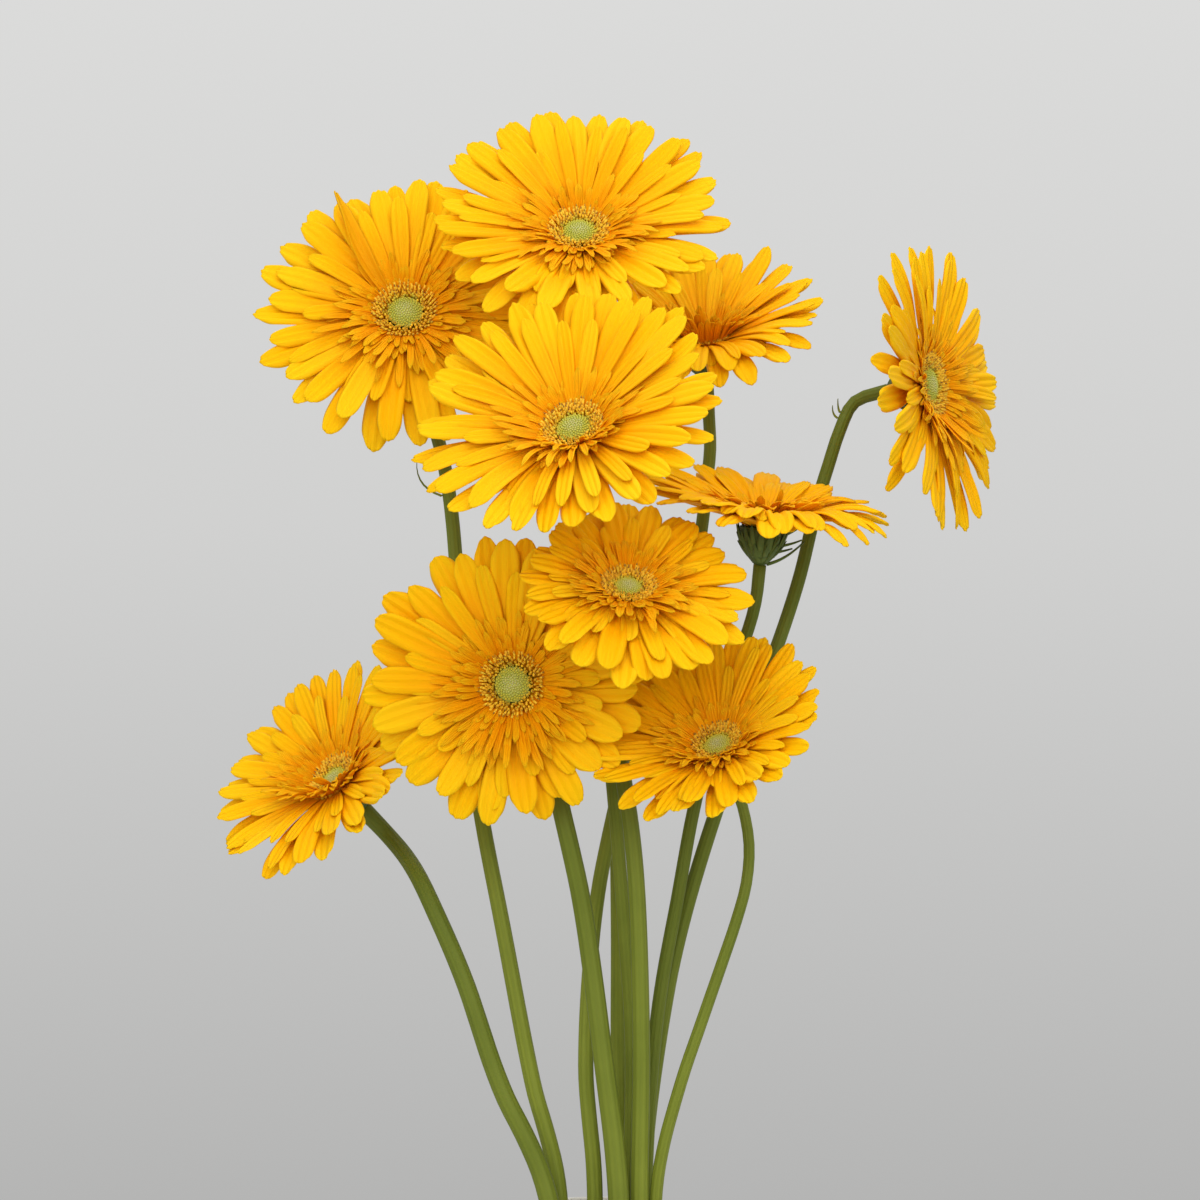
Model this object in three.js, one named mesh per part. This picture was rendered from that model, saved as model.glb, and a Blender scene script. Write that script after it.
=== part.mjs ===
// Gerberas in a plain vase. Millimetres, +Z up, the origin at the centre of the vase's underside.
// The bunch is looked at from the front, along +Y.
import * as THREE from 'three';

// ---- driving dimensions: the vase -------------------------------------------------------------
const VASE_HEIGHT = 200;
const VASE_BASE_RADIUS = 46;
const VASE_BELLY_RADIUS = 54;
const VASE_BELLY_HEIGHT = 78;
const VASE_MOUTH_RADIUS = 39;
const VASE_WALL = 5;
const VASE_FLOOR = 8;
const VASE_EDGE = 2;
const VASE_SIDES = 36;

// ---- driving dimensions: the flowers ----------------------------------------------------------
// The gap left wherever one piece rests on or sits in another.
const GAP = 0.3;
const CALYX_HEIGHT = 14;
const CALYX_SHARE = 0.2;
const RAY_THICKNESS = 1.6;
const RAY_COUNT = 13;
const RAY_STEPS = 3;
const RAY_NOTCH = 0.12;
const TUFT_SHARE = 0.46;
const TUFT_THICKNESS = 1.4;
const TUFT_COUNT = 9;
const TUFT_STEPS = 2;
const TUFT_RISE = 0.34;
const EYE_SHARE = 0.17;
const EYE_RISE = 0.5;
const STEM_SIDES = 8;
const STEM_STEP = 15;
const FOOT_RUN = 16;
const NECK_EASE = 0.42;
const NECK_STRAIGHT = 5;

// ---- the ten flowers --------------------------------------------------------------------------
// head: the top of the calyx, where the florets spread from.
// lean: how far the face turns from the front; turn: to which side it turns, 90 being upward.
// radius: centre to floret tip. cup: how far the florets rise from flat. sag: how much less the
// lowest ones rise. stem: the stem's radius. foot: where it stands on the vase's floor.
// short: where the florets are shorter, the angle round the face and by what share.
// via: the points the stem goes through on its way up from the mouth.
// The heights of head and via are above the vase's rim, so the bunch rises with the vase.
const FLOWERS = [
  {
    name: '01', head: [-8, 23, 373], lean: 42, turn: 90, radius: 53, cup: 11, sag: 5,
    stem: 3.2, foot: [2, 26],
    via: [[8, 13, 5], [7, 21, 60], [7, 27, 103], [6, 32, 160], [2, 37, 233], [-2, 41, 295]],
  },
  {
    name: '02', head: [-76, 39, 344], lean: 28, turn: 95, radius: 57, cup: 6, sag: 10,
    stem: 3.4, foot: [-25, 0],
    via: [[-15.5, 3, 5], [-26, 6, 50], [-37, 12, 106], [-47, 21, 157], [-53, 31, 205], [-58, 41, 265]],
  },
  {
    name: '03', head: [42, 59, 334], lean: 62, turn: 93, radius: 44.5, cup: 27, sag: 15,
    stem: 3.2, foot: [-12, 13],
    via: [[-2, 4, 5], [-5.5, 8, 55], [-2, 12, 112], [4, 17, 145], [17, 29, 195], [37, 50, 245], [43, 60, 285]],
  },
  {
    name: '04', head: [-9, -43, 294], lean: 42, turn: 110, radius: 53, cup: 12, sag: 3,
    stem: 3, foot: [2, -3],
    via: [[11, 1, 5], [12, 4, 65], [9, 3, 111], [5, 3, 160], [1, 2, 200], [-1, -7, 240]],
  },
  {
    name: '05', head: [126, 40, 317], lean: 61, turn: 6, radius: 56, cup: 5, sag: 0,
    stem: 3.2, foot: [16, 23],
    via: [[16, 13, 5], [24.5, 15, 75], [32, 16, 110], [47, 20, 158], [58, 25, 186], [77, 35, 239], [86, 39, 275], [92, 42, 293]],
  },
  {
    name: '06', head: [61.5, -5, 260.5], lean: 84, turn: 86, radius: 47, cup: 17, sag: 8,
    stem: 3, foot: [17, 5],
    via: [[17, 4.5, 5], [22, 8, 75], [30, 9, 121], [36, 8, 154], [45, 5, 190]],
  },
  {
    name: '07', head: [10, -50, 235], lean: 50, turn: 83, radius: 44, cup: 14, sag: 22,
    stem: 3.8, foot: [16, -16],
    via: [[14.8, -7, 5], [15.5, -9, 65], [13.5, -13, 128], [11, -12, 152], [6, -6, 187], [8.5, -16, 208]],
  },
  {
    name: '08', head: [-32, -26, 201.5], lean: 10, turn: 160, radius: 55, cup: 6, sag: 3,
    short: [8, 0.22],
    stem: 4.3, foot: [5, -27],
    via: [[7, -13, 5], [1, -13, 62], [-7, -14, 120], [-14, -16, 152]],
  },
  {
    name: '09', head: [-100, 14, 162], lean: 55, turn: 130, radius: 47.5, cup: 16, sag: 4,
    stem: 4.2, foot: [-13, -24],
    via: [[-19, -8, 5], [-38.5, -5, 51], [-52, -2, 90], [-64, 2, 117]],
  },
  {
    name: '10', head: [44.5, -31, 177], lean: 50, turn: 114, radius: 44.5, cup: 19, sag: 4,
    stem: 2.7, foot: [30, -7],
    via: [[21, -4, 5], [28, -11, 43], [41, -15, 83], [52, -17, 116]],
  },
];

// ---- materials --------------------------------------------------------------------------------
const CERAMIC = { color: 0xdedcd4, roughness: 0.34, metalness: 0 };
const STEM_GREEN = { color: 0x7d9440, roughness: 0.55, metalness: 0 };
const CALYX_GREEN = { color: 0x4f6b2b, roughness: 0.62, metalness: 0 };
const RAY_YELLOW = { color: 0xf7b411, roughness: 0.5, metalness: 0 };
const TUFT_YELLOW = { color: 0xf2a007, roughness: 0.55, metalness: 0 };
const EYE_GREEN = { color: 0x9aa043, roughness: 0.7, metalness: 0 };

// One named piece with a material of its own.
function piece(name, geometry, finish) {
  const mesh = new THREE.Mesh(geometry, new THREE.MeshStandardMaterial(finish));
  mesh.name = name;
  return mesh;
}

// A body of revolution about +Z from (radius, height) points; they start and end on the axis
// for a solid, or close on themselves for a ring.
function turned(points, sides) {
  const profile = points.map(([r, z]) => new THREE.Vector2(r, z));
  const geometry = new THREE.LatheGeometry(profile, sides);
  geometry.rotateX(Math.PI / 2);
  return geometry;
}

// ---- the vase ---------------------------------------------------------------------------------
// The outer radius at a height: base, belly and mouth joined by one smooth line.
function vaseCurve() {
  return new THREE.SplineCurve([
    new THREE.Vector2(VASE_BASE_RADIUS, VASE_EDGE),
    new THREE.Vector2(VASE_BELLY_RADIUS, VASE_BELLY_HEIGHT),
    new THREE.Vector2(VASE_MOUTH_RADIUS, VASE_HEIGHT - VASE_EDGE),
  ]);
}

function vase() {
  const outer = vaseCurve().getPoints(9).map((p) => [p.x, p.y]);
  const inner = outer
    .filter(([, z]) => z > VASE_FLOOR + VASE_EDGE)
    .map(([r, z]) => [r - VASE_WALL, z])
    .reverse();
  const floorRadius = VASE_BASE_RADIUS - VASE_WALL;
  const profile = [
    [0, 0],
    [VASE_BASE_RADIUS - VASE_EDGE, 0],
    ...outer,
    [VASE_MOUTH_RADIUS - VASE_WALL * 0.3, VASE_HEIGHT],
    [VASE_MOUTH_RADIUS - VASE_WALL * 0.7, VASE_HEIGHT],
    ...inner,
    [floorRadius, VASE_FLOOR + VASE_EDGE],
    [floorRadius - VASE_EDGE, VASE_FLOOR],
    [0, VASE_FLOOR],
  ];
  return piece('vase', turned(profile, VASE_SIDES), CERAMIC);
}

// ---- a flower head, built about its own axis --------------------------------------------------
// The green cup under the florets: stem-wide at the foot, flat on top at height 0.
function calyx(flower) {
  const top = flower.radius * CALYX_SHARE;
  const profile = [
    [0, -CALYX_HEIGHT],
    [flower.stem + 1, -CALYX_HEIGHT],
    [top * 0.62, -CALYX_HEIGHT * 0.72],
    [top * 0.92, -CALYX_HEIGHT * 0.36],
    [top, 0],
    [0, 0],
  ];
  return turned(profile, 12);
}

// The share of full length that the florets have at an angle round the face.
function reach(short, x, y) {
  if (!short) {
    return 1;
  }
  const [angle, share] = short;
  const towards = THREE.MathUtils.degToRad(angle);
  const along = (x * Math.cos(towards) + y * Math.sin(towards)) / Math.hypot(x, y);
  return 1 - share * Math.max(0, along) ** 2;
}

// How much less the florets on the low side rise, 0 at the top to 1 at the bottom.
function lowness(x, y) {
  return (1 - y / Math.hypot(x, y)) / 2;
}

// A dished ring with a scalloped edge. The ring is flat out to a seat radius and rises from there;
// sag turns the low side down.
function dished(form) {
  const { seat, hole, radius, rise, sag, base, thickness, count, steps, notch, short } = form;
  const stations = [seat, radius];
  const under = [[hole, 0], ...stations.map((r) => [r, 0])];
  const over = [...stations.map((r) => [r, thickness]).reverse(), [hole, thickness]];
  const sides = count * steps;
  const geometry = turned([...under, ...over, under[0]], sides);
  const at = geometry.attributes.position;
  const p = new THREE.Vector3();
  for (let i = 0; i < at.count; i += 1) {
    p.fromBufferAttribute(at, i);
    const r = Math.hypot(p.x, p.y);
    const out = Math.max(0, r - seat);
    const side = Math.round((Math.atan2(p.x, -p.y) / (2 * Math.PI)) * sides) + 2 * sides;
    const between = side % steps === 0;
    const atRim = r > radius - 0.01;
    const shrink = atRim ? reach(short, p.x, p.y) * (between ? 1 - notch : 1) : 1;
    const angle = THREE.MathUtils.degToRad(rise - sag * lowness(p.x, p.y));
    const lift = out * shrink * Math.tan(angle);
    at.setXYZ(i, p.x * shrink, p.y * shrink, base + p.z + lift);
  }
  return geometry;
}

// The two rows of ray florets, as one ring.
function rays(flower) {
  return dished({
    seat: flower.radius * CALYX_SHARE,
    hole: flower.radius * 0.08,
    radius: flower.radius,
    rise: flower.cup,
    sag: flower.sag,
    base: GAP,
    thickness: RAY_THICKNESS,
    count: RAY_COUNT,
    steps: RAY_STEPS,
    notch: RAY_NOTCH,
    short: flower.short,
  });
}

// The ruff of short florets between the rays and the eye.
function tuft(flower) {
  const rise = flower.cup + THREE.MathUtils.radToDeg(Math.atan(TUFT_RISE));
  return dished({
    seat: flower.radius * CALYX_SHARE,
    hole: flower.radius * 0.08,
    radius: flower.radius * TUFT_SHARE,
    rise,
    sag: flower.sag * 0.5,
    base: GAP + RAY_THICKNESS + GAP,
    thickness: TUFT_THICKNESS,
    count: TUFT_COUNT,
    steps: TUFT_STEPS,
    notch: RAY_NOTCH,
  });
}

// The low dome of unopened florets in the middle.
function eye(flower) {
  const r = flower.radius * EYE_SHARE;
  const base = GAP + RAY_THICKNESS + GAP + TUFT_THICKNESS + GAP;
  const rise = r * EYE_RISE;
  const profile = [
    [0, base],
    [r, base],
    [r * 0.94, base + rise * 0.55],
    [r * 0.55, base + rise],
    [0, base + rise],
  ];
  return turned(profile, 12);
}

// ---- placing a head and its stem --------------------------------------------------------------
// A point given by its height above the vase's rim.
function aboveRim([x, y, z]) {
  return new THREE.Vector3(x, y, VASE_HEIGHT + z);
}

// The way the flower faces.
function facing(flower) {
  const lean = THREE.MathUtils.degToRad(flower.lean);
  const turn = THREE.MathUtils.degToRad(flower.turn);
  return new THREE.Vector3(
    Math.sin(lean) * Math.cos(turn),
    -Math.cos(lean),
    Math.sin(lean) * Math.sin(turn),
  );
}

// Takes a head from its own axis to its place; its low side stays lowest.
function placement(flower) {
  const axis = facing(flower);
  const across = new THREE.Vector3().crossVectors(new THREE.Vector3(0, 0, 1), axis).normalize();
  const up = new THREE.Vector3().crossVectors(axis, across);
  return new THREE.Matrix4()
    .makeBasis(across, up, axis)
    .setPosition(aboveRim(flower.head));
}

// The neck bends evenly from the way the stem is going to the way the flower faces, and its last
// stretch is straight.
function neck(from, going, end, axis) {
  const to = end.clone().addScaledVector(axis, -NECK_STRAIGHT);
  const ease = from.distanceTo(to) * NECK_EASE;
  const bend = new THREE.CubicBezierCurve3(
    from,
    from.clone().addScaledVector(going, ease),
    to.clone().addScaledVector(axis, -ease),
    to,
  );
  const top = end.clone().addScaledVector(axis, -NECK_STRAIGHT / 4);
  return [...bend.getPoints(4).slice(1), top, end];
}

// The stem runs from the vase's floor through its points and comes up square under the calyx.
function stem(flower) {
  const axis = facing(flower);
  const end = aboveRim(flower.head).addScaledVector(axis, -CALYX_HEIGHT - GAP);
  const foot = new THREE.Vector3(...flower.foot, VASE_FLOOR + GAP);
  const rising = new THREE.Vector3(...flower.foot, VASE_FLOOR + GAP + FOOT_RUN);
  const via = flower.via.map(aboveRim);
  const last = via[via.length - 1];
  const going = last.clone().sub(via[via.length - 2]).normalize();
  const points = [foot, rising, ...via, ...neck(last, going, end, axis)];
  const path = new THREE.CatmullRomCurve3(points, false, 'centripetal');
  const outline = new THREE.Shape();
  outline.absarc(0, 0, flower.stem, 0, 2 * Math.PI, false);
  return new THREE.ExtrudeGeometry(outline, {
    steps: Math.round(path.getLength() / STEM_STEP),
    curveSegments: STEM_SIDES / 2,
    bevelEnabled: false,
    extrudePath: path,
  });
}

// One whole flower: five pieces.
function gerbera(flower) {
  const place = placement(flower);
  const heads = [
    ['calyx', calyx, CALYX_GREEN],
    ['rays', rays, RAY_YELLOW],
    ['tuft', tuft, TUFT_YELLOW],
    ['eye', eye, EYE_GREEN],
  ];
  const pieces = heads.map(([kind, make, finish]) =>
    piece(`${kind}_${flower.name}`, make(flower).applyMatrix4(place), finish));
  return [piece(`stem_${flower.name}`, stem(flower), STEM_GREEN), ...pieces];
}

// ---- the whole --------------------------------------------------------------------------------
const bunch = new THREE.Group();
bunch.name = 'gerberas_in_a_vase';
bunch.add(vase());
for (const flower of FLOWERS) {
  bunch.add(...gerbera(flower));
}

export default bunch;
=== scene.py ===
import math
import random

import bmesh
import bpy
from mathutils import Matrix, Vector


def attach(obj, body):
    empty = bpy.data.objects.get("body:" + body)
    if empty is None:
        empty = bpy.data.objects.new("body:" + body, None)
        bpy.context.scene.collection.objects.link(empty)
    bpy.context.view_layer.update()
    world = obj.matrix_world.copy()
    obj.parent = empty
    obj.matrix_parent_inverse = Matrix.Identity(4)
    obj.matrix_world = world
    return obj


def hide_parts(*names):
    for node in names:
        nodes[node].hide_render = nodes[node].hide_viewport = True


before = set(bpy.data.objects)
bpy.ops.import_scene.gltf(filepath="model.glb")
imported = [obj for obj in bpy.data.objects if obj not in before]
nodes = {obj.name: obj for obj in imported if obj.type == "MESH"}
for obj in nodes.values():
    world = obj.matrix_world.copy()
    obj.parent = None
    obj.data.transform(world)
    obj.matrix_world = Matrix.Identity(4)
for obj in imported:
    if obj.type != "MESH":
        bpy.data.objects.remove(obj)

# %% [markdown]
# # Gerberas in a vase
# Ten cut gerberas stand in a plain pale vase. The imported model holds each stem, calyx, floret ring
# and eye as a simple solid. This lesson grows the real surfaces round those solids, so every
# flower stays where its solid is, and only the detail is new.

MM = 0.001
WELD = 1e-6  # corners nearer than this, in metres, are one corner
FULL_TURN = 2 * math.pi
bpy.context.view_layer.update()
flowers = sorted(name.removeprefix("stem_") for name in nodes if name.startswith("stem_"))
print("flowers:", flowers)

# %% [markdown]
# ## Small tools
# A flower is the same few shapes many times over: a flat grid that is bent into a floret, a tube
# or a cup. So one helper makes a grid, notes where each corner is across and along it, and moves
# each corner to the place a function gives. The notes become the UV map, and a tint that is one
# number for a whole floret lets neighbours differ.

# %% Bending a grid
def smooth(low, high, value):
    """0 below low, 1 above high, and an even S between them."""
    t = min(1.0, max(0.0, (value - low) / (high - low)))
    return t * t * (3 - 2 * t)


def blend(a, b, share):
    return a + (b - a) * share


def start_mesh():
    mesh = bmesh.new()
    mesh.loops.layers.uv.new("place")
    mesh.verts.layers.float.new("tint")
    return mesh


def bend_grid(mesh, across, along, place, tint=0.5):
    """Adds a grid of across by along cells, each corner moved to place(u, v), u and v from 0 to 1."""
    uv = mesh.loops.layers.uv["place"]
    tints = mesh.verts.layers.float["tint"]
    made = bmesh.ops.create_grid(mesh, x_segments=across, y_segments=along, size=0.5)["verts"]
    faces = {face for vert in made for face in vert.link_faces}
    for face in faces:
        for loop in face.loops:
            loop[uv].uv = (loop.vert.co.x + 0.5, loop.vert.co.y + 0.5)
    for vert in made:
        vert[tints] = tint
        vert.co = place(vert.co.x + 0.5, vert.co.y + 0.5)


# %% Turning a mesh into a piece of the object
def keep(name, mesh, finish, replaced, thickness=0.0, levels=0):
    """Writes the mesh to an object at the origin, with its finish and its body, and hides the parts it
    stands for.
    """
    data = bpy.data.meshes.new(name)
    mesh.to_mesh(data)
    mesh.free()
    data.shade_smooth()
    data.materials.append(finish)
    piece = bpy.data.objects.new(name, data)
    bpy.context.scene.collection.objects.link(piece)
    if levels:
        rounder = piece.modifiers.new("rounder", "SUBSURF")
        rounder.levels = rounder.render_levels = levels
    if thickness:
        wall = piece.modifiers.new("wall", "SOLIDIFY")
        wall.thickness = thickness
        wall.offset = 0.0
    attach(piece, "root")
    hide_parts(*replaced)


# %% [markdown]
# ## Where each flower is
# The solids say it all. A calyx and an eye are both round about the flower's own axis, so the line
# through their middles is that axis. The ring of rays gives the radius and how far the florets
# rise on the high side and on the low side. The stem's rings give its centre line.

# %% Reading a head from its solids
TIP_FROM_RADIUS = 0.95  # a corner of the rays beyond this share of the radius is at a tip
TIPS_READ = 6  # how many tips, lowest and highest, give the two rises


class Head:
    def __init__(self, name):
        def points(kind):
            return [vert.co.copy() for vert in nodes[f"{kind}_{name}"].data.vertices]

        def middle(cloud):
            return sum(cloud, Vector()) / len(cloud)

        calyx, eye, rays = points("calyx"), points("eye"), points("rays")
        below = middle(calyx)
        self.name = name
        self.axis = (middle(eye) - below).normalized()
        self.across = Vector((0, 0, 1)).cross(self.axis).normalized()
        self.up = self.axis.cross(self.across)
        heights = [(p - below).dot(self.axis) for p in calyx]
        self.centre = below + self.axis * max(heights)
        self.depth = max(heights) - min(heights)
        self.calyx_radius = max(self.away(p) for p in calyx)
        self.radius = max(self.away(p) for p in rays)
        tips = [p for p in rays if self.away(p) > self.radius * TIP_FROM_RADIUS]
        tips.sort(key=lambda p: (p - self.centre).dot(self.up))
        self.low_rise = self.rise(tips[:TIPS_READ])
        self.high_rise = self.rise(tips[-TIPS_READ:])

    def away(self, point):
        """How far a point is from the axis."""
        offset = point - self.centre
        return (offset - self.axis * offset.dot(self.axis)).length

    def rise(self, tips):
        """The mean angle by which these tips stand up from flat."""
        heights = [(p - self.centre).dot(self.axis) / (self.away(p) - self.calyx_radius) for p in tips]
        return math.atan(sum(heights) / len(heights))

    def spoke(self, angle):
        """The outward and sideways directions at an angle round the head."""
        out = self.across * math.cos(angle) + self.up * math.sin(angle)
        side = self.up * math.cos(angle) - self.across * math.sin(angle)
        return out, side

    def cup(self, angle):
        """How far the rays rise at that angle."""
        return blend(self.low_rise, self.high_rise, (1 + math.sin(angle)) / 2)


heads = {name: Head(name) for name in flowers}
for head in heads.values():
    print(head.name, "radius", round(head.radius / MM, 1), "rise", round(math.degrees(head.high_rise)))


# %% Reading a stem's centre line
FACES_DOWN = -0.9  # a face whose normal's z is below this belongs to the flat foot


def stem_line(name):
    """The ring centres from foot to neck, and the stem's radius at the foot."""
    mesh = bmesh.new()
    mesh.from_mesh(nodes[f"stem_{name}"].data)
    bmesh.ops.remove_doubles(mesh, verts=mesh.verts, dist=WELD)
    lowest = min(mesh.verts, key=lambda vert: vert.co.z)
    foot = max(lowest.link_faces, key=lambda face: -face.normal.z)
    ring = set(foot.verts)
    grown = True
    while grown:
        flat = {face for vert in ring for face in vert.link_faces if face.normal.z < FACES_DOWN}
        grown = {vert for face in flat for vert in face.verts} - ring
        ring |= grown
    seen, centres, radius = set(), [], 0
    while ring:
        centre = sum((vert.co for vert in ring), Vector()) / len(ring)
        radius = radius or max((vert.co - centre).length for vert in ring)
        centres.append(centre)
        seen |= ring
        ring = {edge.other_vert(vert) for vert in ring for edge in vert.link_edges} - seen
    mesh.free()
    return centres, radius


lines = {name: stem_line(name) for name in flowers}
for name, (centres, radius) in lines.items():
    print("stem", name, len(centres), "rings, radius", round(radius / MM, 2))

# %% [markdown]
# ## Painting by arithmetic
# Every finish here is worked out from a few patterns, so shader nodes are written as sums. A small
# class wraps a socket and turns + - * / and ** into Math nodes. Colours go through Mix nodes.

# %% A socket that can be added and multiplied
class Wave:
    def __init__(self, paint, socket):
        self.paint = paint
        self.socket = socket

    def math(self, operation, first, second):
        return self.paint.node("ShaderNodeMath", {"operation": operation}, {0: first, 1: second})

    def __add__(self, other):
        return self.math("ADD", self, other)

    def __radd__(self, other):
        return self.math("ADD", other, self)

    def __sub__(self, other):
        return self.math("SUBTRACT", self, other)

    def __rsub__(self, other):
        return self.math("SUBTRACT", other, self)

    def __mul__(self, other):
        return self.math("MULTIPLY", self, other)

    def __rmul__(self, other):
        return self.math("MULTIPLY", other, self)

    def __pow__(self, other):
        return self.math("POWER", self, other)

    def sine(self):
        return self.math("SINE", self, 0.0)

    def size(self):
        """The value without its sign."""
        return self.math("ABSOLUTE", self, 0.0)

    def step(self, low, high):
        """0 below low to 1 above high."""
        return self.paint.node("ShaderNodeMapRange", {"interpolation_type": "SMOOTHSTEP"},
                               {"Value": self, "From Min": low, "From Max": high})


# %% A finish and its nodes
class Paint:
    def __init__(self, name):
        self.material = bpy.data.materials.new(name)
        self.material.use_nodes = True
        self.tree = self.material.node_tree
        self.shader = self.tree.nodes["Principled BSDF"]

    def node(self, kind, settings=None, inputs=None, out=0):
        made = self.tree.nodes.new(kind)
        for key, value in (settings or {}).items():
            if key == "stops":
                self.fill_ramp(made.color_ramp.elements, value)
            else:
                setattr(made, key, value)
        for key, value in (inputs or {}).items():
            self.feed(made.inputs[key], value)
        return Wave(self, made.outputs[out])

    def fill_ramp(self, elements, stops):
        while len(elements) < len(stops):
            elements.new(1.0)
        for element, (position, colour) in zip(elements, stops):
            element.position = position
            element.color = (*colour, 1.0)

    def feed(self, socket, value):
        if isinstance(value, Wave):
            self.tree.links.new(value.socket, socket)
        else:
            socket.default_value = value

    def mix(self, share, first, second):
        """A colour between two, by a share from 0 to 1."""
        ends = [(*c, 1.0) if isinstance(c, tuple) else c for c in (first, second)]
        return self.node("ShaderNodeMix", {"data_type": "RGBA"}, {0: share, 6: ends[0], 7: ends[1]}, 2)

    def noise(self, vector, scale, detail, roughness=0.5):
        inputs = {"Vector": vector, "Scale": scale, "Detail": detail, "Roughness": roughness}
        return self.node("ShaderNodeTexNoise", None, inputs)

    def place(self):
        """The piece's own UV map, then its two parts, across and along."""
        uv = self.node("ShaderNodeUVMap", {"uv_map": "place"})
        across = self.node("ShaderNodeSeparateXYZ", None, {0: uv})
        along = Wave(self, across.socket.node.outputs[1])
        return uv, across, along

    def stretch(self, vector, scale):
        return self.node("ShaderNodeMapping", None, {"Vector": vector, "Scale": scale})

    def tint(self):
        return self.node("ShaderNodeAttribute", {"attribute_name": "tint"}, out="Fac")

    def object_place(self):
        return self.node("ShaderNodeTexCoord", out="Object")

    def bump(self, height, distance, strength):
        return self.node("ShaderNodeBump", None,
                         {"Height": height, "Distance": distance, "Strength": strength})

    def coat(self, **values):
        """Sets the shader's sockets by name, with _ for a space, and hands over the material."""
        for key, value in values.items():
            socket = self.shader.inputs[key.replace("_", " ")]
            if isinstance(value, tuple) and socket.type == "RGBA":
                value = (*value, 1.0)
            self.feed(socket, value)
        return self.material


# %% [markdown]
# ## The finishes
# A ray floret is orange-yellow where it leaves the eye and clear yellow at its tip. Fine veins run
# along it, its rim is paler, partly its own pale margin and partly painted sheen towards the tip,
# and no two florets are quite the same. The short inner florets are deeper in colour. The rays are
# thin and a little light passes into them, which subsurface gives.

# %% Ray and tuft florets
STREAK_STRETCH = (26.0, 1.6, 1.0)  # veins are many across a floret and long along it
FLORET_GROOVES = 3
# painted shade: the brown given to a folded floret's turned back
FOLD_SHADE_BROWN = (0.34, 0.16, 0.0)
FOLD_SHADE_FROM = 1.2  # a floret whose tint is above this is painted brown, the shade on a folded floret's turned back


def floret_finish(name, stops, pale_rim_and_sheen, vein, rim_and_sheen_share, passing):
    """The stops run from the head to the tip, and passing is how much light goes into the floret."""
    paint = Paint(name)
    uv, across, along = paint.place()
    tint = paint.tint()
    streaks = paint.noise(paint.stretch(uv, STREAK_STRETCH), 1.0, 3.0, 0.6)
    blotches = paint.noise(paint.object_place(), 60.0, 2.0)
    body = paint.node("ShaderNodeValToRGB", {"stops": stops}, {"Fac": along + (blotches - 0.5) * 0.3})
    body = paint.mix(streaks.step(0.48, 0.75) * 0.28, body, vein)
    # partly painted sheen: the rim is paler and a little bluer towards the tip, partly the floret's own pale
    # margin
    edge = ((across - 0.5).size() * 2.0) ** 4.0
    body = paint.mix(edge * rim_and_sheen_share * along, body, pale_rim_and_sheen)
    body = paint.mix((tint - 0.5).step(0.0, 0.5) * 0.22, body, vein)
    body = paint.mix((0.5 - tint).step(0.0, 0.5) * 0.3, body, pale_rim_and_sheen)
    # painted shade: a tint above the mark turns the floret brown, for the shade on a folded floret's back
    body = paint.mix((tint - FOLD_SHADE_FROM).step(0.0, 0.5) * 0.65, body, FOLD_SHADE_BROWN)
    grooves = (across * (FULL_TURN * FLORET_GROOVES)).sine() * 0.5
    return paint.coat(
        Base_Color=body,
        Roughness=0.45 + blotches * 0.2,
        Normal=paint.bump(streaks + grooves, 0.4 * MM, 0.8),
        Subsurface_Weight=passing,
        Subsurface_Radius=(1.0, 0.8, 0.1),
        Subsurface_Scale=1.2 * MM,
        Specular_IOR_Level=0.06,
    )


RAY_STOPS = [(0.0, (1.0, 0.33, 0.0)), (0.35, (1.0, 0.42, 0.0)), (0.65, (1.0, 0.50, 0.0)),
             (1.0, (1.0, 0.57, 0.003))]
TUFT_STOPS = [(0.0, (1.0, 0.29, 0.0)), (0.45, (1.0, 0.39, 0.0)), (0.9, (1.0, 0.55, 0.006))]
ray_finish = floret_finish("ray_florets", RAY_STOPS, pale_rim_and_sheen=(1.0, 0.62, 0.01), vein=(0.97, 0.38, 0.0),
                           rim_and_sheen_share=0.4, passing=0.2)
tuft_finish = floret_finish("tuft_florets", TUFT_STOPS, pale_rim_and_sheen=(1.0, 0.54, 0.006), vein=(0.97, 0.30, 0.0),
                            rim_and_sheen_share=0.5, passing=0.0)
print("floret finishes ready")


# %% The eye, its tint going from green bud to gold floret to brown anther
EYE_STOPS = [(0.0, (0.56, 0.55, 0.22)), (0.22, (0.48, 0.48, 0.045)), (0.42, (0.62, 0.48, 0.02)),
             (0.6, (0.95, 0.54, 0.008)), (0.8, (0.78, 0.40, 0.008)), (1.0, (0.24, 0.10, 0.01))]


def eye_colours():
    paint = Paint("eye_florets")
    grain = paint.noise(paint.object_place(), 900.0, 2.0)
    body = paint.node("ShaderNodeValToRGB", {"stops": EYE_STOPS},
                      {"Fac": paint.tint() + (grain - 0.5) * 0.08})
    return paint.coat(
        Base_Color=body,
        Roughness=0.55 + grain * 0.2,
        Normal=paint.bump(grain, 0.2 * MM, 0.5),
        Subsurface_Weight=0.1,
        Subsurface_Radius=(0.8, 0.7, 0.1),
        Subsurface_Scale=1.0 * MM,
    )


eye_finish = eye_colours()
print("eye finish ready")


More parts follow.
